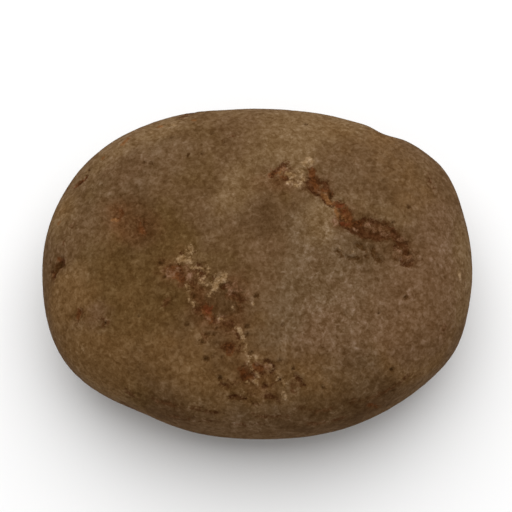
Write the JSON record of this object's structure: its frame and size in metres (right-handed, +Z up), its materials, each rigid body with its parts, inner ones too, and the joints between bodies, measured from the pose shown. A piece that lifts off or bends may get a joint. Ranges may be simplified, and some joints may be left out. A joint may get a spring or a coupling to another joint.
{
  "type": "river pebble",
  "caption": "Flattened oval river pebble with weathered, rust-stained veins, resting crown up on a small worn patch.",
  "frame": {"origin": "under the middle of the outline seen from above, at the level of the worn patch the stone rests on", "axes": "+X along the long axis of the oval, +Y along its shorter axis, away from the viewer, +Z up through the crown"},
  "size_m": [0.08, 0.063, 0.03],
  "materials": {
    "river_stone": "matt, fine-grained brown sandstone with rusty veins, pale crusts and small dark pits"
  },
  "bodies": {
    "root": {"pebble": "river_stone"}
  },
  "joints": []
}
